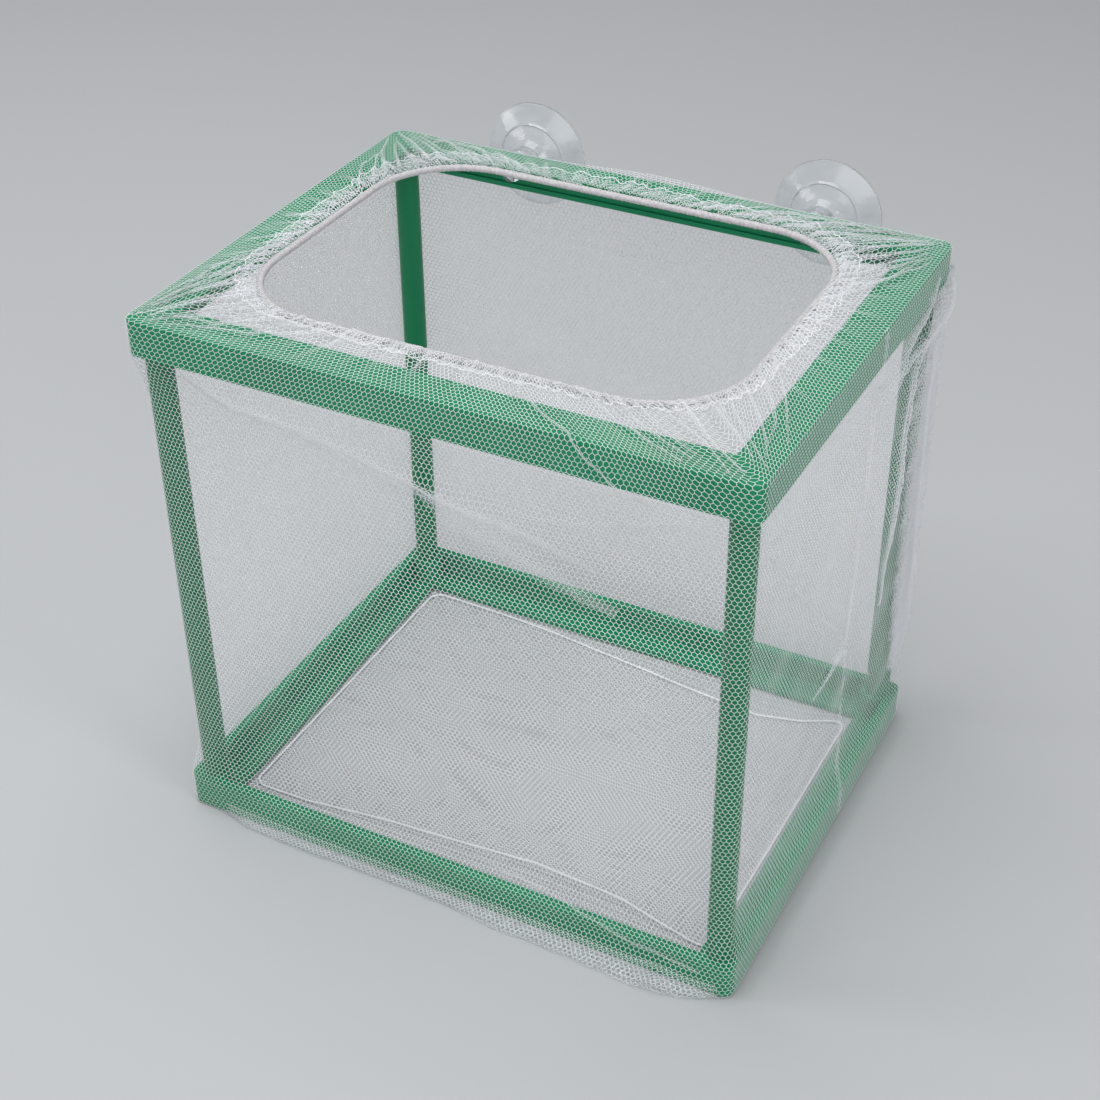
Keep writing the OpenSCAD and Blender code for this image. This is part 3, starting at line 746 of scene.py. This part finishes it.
def slack_place(s, t, inside=0.0):
    """The loose net at the foot of the front: it leaves the ring, bulges and runs back below."""
    shape = s.shape
    s, t = s.ravel(), t.ravel()
    quadrant, share = station(s)
    xy, normal = around(quadrant, share, BAG_X, BAG_Y, np.full(s.shape, BAG_R))
    down = (LOOSE_T - t) / MM
    way, length = slack_way(xy[:, 0] / MM)
    way = way * (1 - 0.22 * inside, 1.0) + (0.0, 0.12 * inside)
    k = np.clip((length[:, 1:] < down[:, None]).sum(axis=1), 0, 10)
    n = np.arange(len(s))
    f = (down - length[n, k]) / np.maximum(length[n, k + 1] - length[n, k], 1e-6)
    point = way[n, k] + (way[n, k + 1] - way[n, k]) * f[:, None]
    x = xy[:, 0] / MM
    free = smooth((5.5 - point[:, 1]) / 4) * smooth(point[:, 0] / 2)
    seed = 7.0 + 4.0 * inside
    pleats = (0.40 * wobble(x + 0.8 * down, 6.5, seed)
              + 0.24 * wobble(x - 0.5 * down, 2.9, seed + 1)) * free
    lump = np.exp(-((x - LUMP_X) / 4.2) ** 2) * smooth((down - 3) / 3) * smooth((11.5 - down) / 3)
    fan = 0.35 * np.sin((x - LUMP_X + 0.35 * (down - 7)) * 4.2) * lump
    z = np.maximum(point[:, 1] + pleats + (2.3 - 0.5 * inside) * lump + fan, 0.1) * MM
    place = xy + normal * (point[:, 0] + 0.4 * pleats + 0.5 * lump + fan)[:, None] * MM
    return np.column_stack([place, z]).reshape(shape + (3,))


LOOSE_FROM, LOOSE_OUT = 4.5, 1.5   # the loose net is double below and outside these


def in_slack(s, t, layer):
    """The inner layer is there only where the net has left the ring."""
    quadrant, share = station(s.ravel())
    xy, _ = around(quadrant, share, BAG_X, BAG_Y, np.full(share.shape, BAG_R))
    _, length = slack_way(xy[:, 0] / MM)
    down = (LOOSE_T - t) / MM
    out = np.interp(xy[:, 0] / MM, SLACK_X, SLACK_OUT).reshape(s.shape)
    loose = (layer == 0) | ((down > LOOSE_FROM) & (out > LOOSE_OUT))
    reached = down < length[:, -1].reshape(s.shape)
    return (np.abs(s) < HALF_FRONT) & (t <= LOOSE_T) & reached & loose


slack_range = ((int(-HALF_FRONT / CELL[0]) - 2, int(HALF_FRONT / CELL[0]) + 3),
               (int((LOOSE_T - 24 * MM) / CELL_H), int(LOOSE_T / CELL_H) + 2))
slack = joined([
    net_threads(*slack_range, lambda s, t, layer=layer: slack_place(s, t, layer),
                lambda s, t, layer=layer: in_slack(s, t, layer), CELL,
                width=0.15 * MM, shift=0.5 * layer)
    for layer in (0.0, 1.0)])
slack = make_mesh("net_front_slack_threads", *slack, net_thread)
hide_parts("net_front_slack")


# ---- Pleats: places where the net lies gathered in narrow dense strips ----

def softened(line):
    """A line of points with its corners cut twice, and the distance along it."""
    line = np.array(line, float)
    for _ in range(2):
        quarter, rest = 0.75 * line[:-1] + 0.25 * line[1:], 0.25 * line[:-1] + 0.75 * line[1:]
        cut = np.stack([quarter, rest], axis=1).reshape(-1, 2)
        line = np.concatenate([line[:1], cut, line[-1:]])
    return line, np.concatenate([[0], np.cumsum(np.linalg.norm(np.diff(line, axis=0), axis=1))])


def strip(line, width, lift, cell=0.85, ends=(0.3, 0.1), seed=0.0, out=0.15, narrow=0.3, yarn=0.13):
    """A second layer of net along a line on the bag, drawn together and fading towards its ends
    and its edges. Lengths are in millimetres."""
    line, walk = softened(line)
    way = unit(np.gradient(line, walk, axis=0))
    columns = max(2, round(width / cell))
    a, b = width * MM / columns, 1.15 * MM

    def taper(v):
        share = np.clip(v / walk[-1], 0, 1)
        return smooth(share / max(ends[0], 1e-6)) * smooth((1 - share) / max(ends[1], 1e-6))

    def place(p, v):
        shape = p.shape
        p, v = p.ravel(), v.ravel()
        drawn = narrow + (1 - narrow) * taper(v)
        drawn = drawn * (1 + 0.2 * wobble(v, 9 * MM, seed))
        c = np.stack([np.interp(v, walk, line[:, k]) for k in (0, 1)], axis=1)
        w = np.stack([np.interp(v, walk, way[:, k]) for k in (0, 1)], axis=1)
        sway = 0.25 * MM * wobble(v, 13 * MM, seed + 3)
        c = c + np.stack([w[:, 1], -w[:, 0]], axis=1) * (p * drawn + sway)[:, None]
        arch = np.sqrt(np.clip(1 - (2 * p / (width * MM)) ** 2, 0, 1))
        height = (out + lift * drawn * arch) * MM
        return bag(c[:, 0], c[:, 1], height).reshape(shape + (3,))

    def yarn_at(p, v):
        inside = smooth((1.1 - np.abs(2 * p / (width * MM))) / 0.6)
        return yarn * MM * (0.25 + 0.75 * inside) * (0.3 + 0.7 * taper(v))

    rows = int(walk[-1] / b)
    return net_threads((-columns, columns + 1), (0, rows + 1), place,
                       lambda p, v: (np.abs(p) <= width * MM / 2) & (v >= 0) & (v <= walk[-1]),
                       (a, b), width=yarn_at)


def strips(name, parts, node):
    piece = make_mesh(name, *joined(parts), net_thread)
    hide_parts(node)
    return piece


collar_parts = [strip(line, 2.7 + 0.8 * math.sin(1.9 * number), 0.5, 0.62, (0.8, 0.06), number,
                      narrow=0.25)
                for number, line in enumerate(corner_lines)]
HEM_GATHERS = 120
for number in range(HEM_GATHERS):
    s_at = (number + 0.35 * math.sin(7.7 * number)) / HEM_GATHERS * BAG_ROUND
    reach = float(collar_length(np.array([s_at]))[0])
    long_ = (6.0 + 5.0 * math.sin(4.1 * number) ** 2) * MM
    lean = 1.5 * math.sin(2.3 * number) * MM
    collar_parts.append(strip([(s_at + lean, reach - min(long_, 0.85 * reach)),
                               (s_at + 0.3 * lean, reach - 3 * MM), (s_at, reach - 0.7 * MM)],
                              2.0 + 0.5 * math.sin(3.3 * number), 0.4, 0.6, (0.7, 0.05), number))
collar_pleats = strips("net_collar_pleats", collar_parts, "net_collar")

front_pleats = strips("net_front_pleats", [
    strip(SWAG, 5.2, 0.5, 0.95, (0.2, 0.35), 1.0, yarn=0.15),
    strip(SWAG_EDGE, 1.3, 0.3, 0.42, (0.3, 0.3), 2.0, 0.5, yarn=0.12),
    strip(SWAG_FAN, 10.0, 0.4, 1.2, (0.25, 0.6), 3.0, yarn=0.12),
    strip(BAR_FOLD, 1.6, 0.25, 0.45, (0.2, 0.3), 4.0, yarn=0.11),
    strip(FOOT_LINE, 1.0, 0.25, 0.4, (0.1, 0.05), 5.0, 0.3, yarn=0.12),
], "net_front")

right_pleats = strips("net_right_pleats", [
    strip(TO_SEAM, 5.0, 1.0, 0.85, (0.2, 0.25), 3.0),
    strip(BACK_EDGE, 9.0, 1.0, 0.95, (0.1, 0.4), 4.0),
    strip(BACK_EDGE_2, 9.0, 1.2, 0.9, (0.1, 0.25), 5.0, yarn=0.16),
    strip(POST_FOLD, 15.0, 0.8, 0.95, (0.08, 0.15), 6.0, 0.3, 0.5, yarn=0.17),
    strip(POST_FOLD, 13.0, 1.1, 0.85, (0.08, 0.2), 7.0, 0.6, 0.5, yarn=0.17),
    strip(POST_COVER, 16.0, 0.5, 0.8, (0.08, 0.2), 12.0, 0.4, 0.7, yarn=0.17),
    strip(POST_COVER, 13.0, 0.8, 0.75, (0.08, 0.2), 13.0, 0.7, 0.7, yarn=0.17),
    strip(SEAM_BAND, 3.0, 0.3, 0.5, (0.15, 0.1), 14.0, 0.3, 0.7, yarn=0.15),
    strip(SEAM_BAND, 2.2, 0.4, 0.45, (0.15, 0.1), 15.0, 0.5, 0.7, yarn=0.15),
    strip(ACROSS, 1.3, 0.25, 0.42, (0.15, 0.1), 8.0, yarn=0.11),
    strip(SEAM_KNOT, 4.5, 1.2, 0.6, (0.2, 0.2), 9.0, 0.5, yarn=0.15),
    strip(SEAM_IN, 2.0, 0.5, 0.6, (0.1, 0.4), 10.0),
    strip([right(52, 150), right(40, 140), right(26, 134), right(13, 130)], 6.0, 0.5, 0.95,
          (0.2, 0.2), 11.0),
], "net_right")
post_cover = strips("net_right_post_cover", [
    strip(POST_COVER, 15.0, 0.4, 0.62, (0.08, 0.2), 16.0, 1.0, 0.75, yarn=0.19),
    strip(POST_COVER, 12.0, 0.6, 0.60, (0.08, 0.2), 17.0, 1.3, 0.75, yarn=0.19),
    strip(POST_FOLD, 12.0, 0.5, 0.62, (0.08, 0.2), 18.0, 0.8, 0.6, yarn=0.19),
], "net_right")


# ---- Hem and seams ----

def tube(name, path, radius, sides, material, closed=True, flat=1.0):
    """A tube along a path of points. radius is a number or one for each point of each ring."""
    path = np.asarray(path, float)
    if closed:
        way = unit(np.roll(path, -1, axis=0) - np.roll(path, 1, axis=0))
    else:
        way = unit(np.gradient(path, axis=0))
    side = unit(np.cross(way, (0, 0, 1.0)))
    up = np.cross(side, way)
    turn = np.arange(sides) / sides * 2 * math.pi
    radius = np.broadcast_to(radius, (len(path), sides))[..., None]
    rings = (path[:, None] + radius * (np.cos(turn)[None, :, None] * side[:, None]
                                       + flat * np.sin(turn)[None, :, None] * up[:, None]))
    faces = quads_between((len(path), sides), closed_along=closed)
    return make_mesh(name, rings.reshape(-1, 3), faces, material)


def mouth_path(step, out=0.0):
    """Points round the mouth a step apart, and the way round in metres."""
    halves = half_sides(*MOUTH_HALF, MOUTH_R)
    round_ = 4 * sum(halves)
    count = int(round_ / step)
    s = np.arange(count) / count * BAG_ROUND
    quadrant, share = station(s)
    xy, normal = around(quadrant, share, *MOUTH_HALF, np.full(count, MOUTH_R))
    xy = xy + MOUTH_MID + normal * out
    return s, xy, np.arange(count) / count * round_


s_hem, xy_hem, walk_hem = mouth_path(0.28 * MM)
turn = np.arange(14) / 14 * 2 * math.pi
HEM_SHOWN = 0.84          # the gathered casing lies tight round the cord
ribs = (0.08 * np.cos(2 * math.pi * walk_hem / (1.15 * MM) + 1.6 * wobble(walk_hem, 9 * MM, 2.0))
        + 0.05 * wobble(walk_hem, 3.7 * MM, 1.0))[:, None]
lobes = 0.03 * np.sin(3 * turn)[None, :] * wobble(walk_hem, 6 * MM, 4.0)[:, None]
hem = tube("hem_ribbed", np.column_stack([xy_hem, np.full(len(xy_hem), HEM_Z)]),
           HEM_SHOWN * HEM_R * (1.0 + ribs + lobes), 14, hem_thread)
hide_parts("hem_casing")


def hem_stitch_line(s):
    """Distance up the cloth of the one thread that closes the hem, which wanders."""
    return (collar_length(s) - 5.8 * MM + 0.6 * MM * wobble(s, 17 * MM, 8.0)
            + 0.55 * MM * wobble(s, 5.3 * MM, 3.0) + 0.30 * MM * wobble(s, 2.6 * MM, 5.0))


s_line = np.linspace(0, BAG_ROUND, 2600, endpoint=False)
stitch = tube("overlock_zigzag",
              bag(s_line, hem_stitch_line(s_line),
                  (0.75 + 0.15 * wobble(s_line, 1.9 * MM, 6.0)) * MM),
              0.11 * MM, 6, seam_thread)
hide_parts("hem_stitch")


def loop_path(half_x, half_y, r, step):
    halves = half_sides(half_x, half_y, r)
    count = int(4 * sum(halves) / step)
    s = np.arange(count) / count * BAG_ROUND
    quadrant, share = station(s)
    return around(quadrant, share, half_x, half_y, np.full(count, r)) + (s,)


SEAM_W = 1.6 * MM
SEAM_LOOP = (SEAM_HALF[0] + 0.9 * MM, SEAM_HALF[1] - 0.3 * MM)   # near the flange's inner edge
SEAM_R, SEAM_STEP = 4.2 * MM, 0.4 * MM
seam_xy, seam_out, seam_s = loop_path(*SEAM_LOOP, SEAM_R, SEAM_STEP)
seam_xy = seam_xy + (SEAM_MID.x, SEAM_MID.y)
seam_back, seam_up = bowed(seam_xy[:, 0], seam_xy[:, 1])
seam_xy[:, 1] += seam_back
seam_h = seam_high.z - seam_low.z
bulge = 1 + 0.09 * np.cos(seam_s / (1.7 * MM) * 2 * math.pi) + 0.07 * wobble(seam_s, 8 * MM, 2.0)
seam_body = tube("floor_seam_band",
                 np.column_stack([seam_xy, seam_low.z + seam_h * 0.48 + seam_up]),
                 (SEAM_W * 0.21 * bulge)[:, None], 10, seam_thread, flat=0.6)
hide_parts("floor_seam")
k = np.arange(len(seam_xy) * 2) / 2


def between(values):
    return np.interp(k, np.arange(len(values) + 1), np.append(values, values[0]))


turns = round(len(seam_xy) / 5.2)
wave = k / len(seam_xy) * turns * 2 * math.pi
swing = 0.28 * MM * np.sin(wave + 0.4 * np.sin(wave))
zig = [between(seam_xy[:, c]) + between(seam_out[:, c]) * swing for c in (0, 1)]
zig_z = seam_low.z + between(seam_up) + seam_h * (0.74 + 0.14 * np.cos(wave))
floor_zig = tube("floor_seam_zigzag", np.column_stack([*zig, zig_z]),
                 0.07 * MM, 5, seam_thread)
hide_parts("floor_seam")

# The side seam: a doubled strip of net with an overlocked edge
SIDE_SEAM_S = HALF_FRONT + HALF_SIDE + (side_seam_low.y + side_seam_high.y) / 2
SIDE_SEAM_W = side_seam_high.y - side_seam_low.y


SEAM_FOOT = right(0, 61)[1]    # the seam is gathered in a knot here, and shows less below it
SEAM_HEAD = right(0, 139)[1]


def strip_net(name, out, shift):
    middle = SIDE_SEAM_S
    count = int(round(SIDE_SEAM_W / CELL[0])) + 2
    first = int(middle / CELL[0]) - count
    threads = net_threads((first, first + 2 * count), (int(UNDER_T / CELL_H), 1),
                          lambda s, t: bag(s, t, out),
                          lambda s, t: ((np.abs(s - middle) < SIDE_SEAM_W / 2) & (t < -0.6 * MM)
                                        & (t > UNDER_T + 2 * MM)),
                          CELL, shift=shift,
                          width=lambda s, t: np.where(t > SEAM_FOOT, 0.17, 0.06) * MM)
    return make_mesh(name, *threads, net_thread)


seam_net = strip_net("side_seam_threads", 0.3 * MM, 0.5)
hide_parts("side_seam")
rows = np.linspace(SEAM_FOOT, SEAM_HEAD, 450)
lane = SIDE_SEAM_S + 0.2 * MM * wobble(rows, 19 * MM, 2.0)
climb = np.arange(len(rows)) / 6.0 * 2 * math.pi
seam_zig = tube("side_seam_zigzag",
                bag(lane - 0.5 * MM + 0.75 * MM * np.sin(climb), rows, 0.55 * MM), 0.07 * MM, 5,
                seam_thread, closed=False)
seam_line = tube("side_seam_line", bag(lane + 0.5 * MM, rows, 0.5 * MM), 0.09 * MM, 6, seam_thread,
                 closed=False)
for piece in (seam_zig, seam_line):
    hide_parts("side_seam")


# ---- Materials of the pieces that come from the frame ----

def paint(node, material):
    for slot in nodes[node].material_slots:
        slot.material = material
    if not nodes[node].material_slots:
        nodes[node].data.materials.append(material)


for node in ("top_ring", "bottom_ring"):
    paint(node, ring_green)
for node in ("post_front_left", "post_front_right", "post_back_left", "post_back_right"):
    paint(node, shaded_post_green)
for node in ("suction_cup_left", "suction_cup_right"):
    paint(node, clear_pvc)
paint("elastic_cord", elastic_core)


# ---- Floor, lights and camera ----

floor_mesh = bpy.data.meshes.new("studio_floor")
floor_mesh.from_pydata([(-4, -4, 0), (4, -4, 0), (4, 4, 0), (-4, 4, 0)], [], [(0, 1, 2, 3)])
studio_floor = bpy.data.objects.new("studio_floor", floor_mesh)
bpy.context.scene.collection.objects.link(studio_floor)
floor_material, floor_nodes, _ = new_material("studio_floor")
floor_shader = floor_nodes["Principled BSDF"]
floor_shader.inputs["Base Color"].default_value = (0.42, 0.43, 0.44, 1)
floor_shader.inputs["Roughness"].default_value = 0.9
floor_mesh.materials.append(floor_material)

world = bpy.data.worlds.new("studio")
bpy.context.scene.world = world
world.use_nodes = True
world.node_tree.nodes["Background"].inputs["Color"].default_value = (0.80, 0.82, 0.85, 1)
world.node_tree.nodes["Background"].inputs["Strength"].default_value = 0.40


def area_light(name, place, target, size, watts, colour=(1, 1, 1)):
    lamp = bpy.data.lights.new(name, "AREA")
    lamp.shape, lamp.size, lamp.size_y = "RECTANGLE", size[0], size[1]
    lamp.energy, lamp.color = watts, colour
    light = bpy.data.objects.new(name, lamp)
    light.location = place
    light.rotation_euler = (Vector(target) - Vector(place)).to_track_quat("-Z", "Y").to_euler()
    bpy.context.scene.collection.objects.link(light)


centre = (0, 0, 0.08)
area_light("overhead", (-0.15, -0.05, 1.25), centre, (1.1, 0.9), 13)
area_light("left_strip", (-1.1, -0.5, 0.55), centre, (0.4, 0.9), 4.5)
area_light("right_strip", (1.2, -0.35, 0.40), centre, (0.4, 0.9), 6.5)
area_light("front_soft", (0.3, -1.1, 0.48), centre, (0.9, 0.7), 4.2)

camera_data = bpy.data.cameras.new("camera")
camera_data.sensor_width = 36
camera_data.lens = 63.53
camera = bpy.data.objects.new("camera", camera_data)
camera.location = (0.19967, -0.38099, 0.37398)
looks_at = Vector((-0.15310, 0.28884, -0.15622))
level = (looks_at - camera.location).to_track_quat("-Z", "Y")
camera.rotation_euler = (level @ Quaternion((0, 0, 1), math.radians(-0.57))).to_euler()
bpy.context.scene.collection.objects.link(camera)
bpy.context.scene.camera = camera
bpy.context.scene.view_settings.view_transform = "Standard"
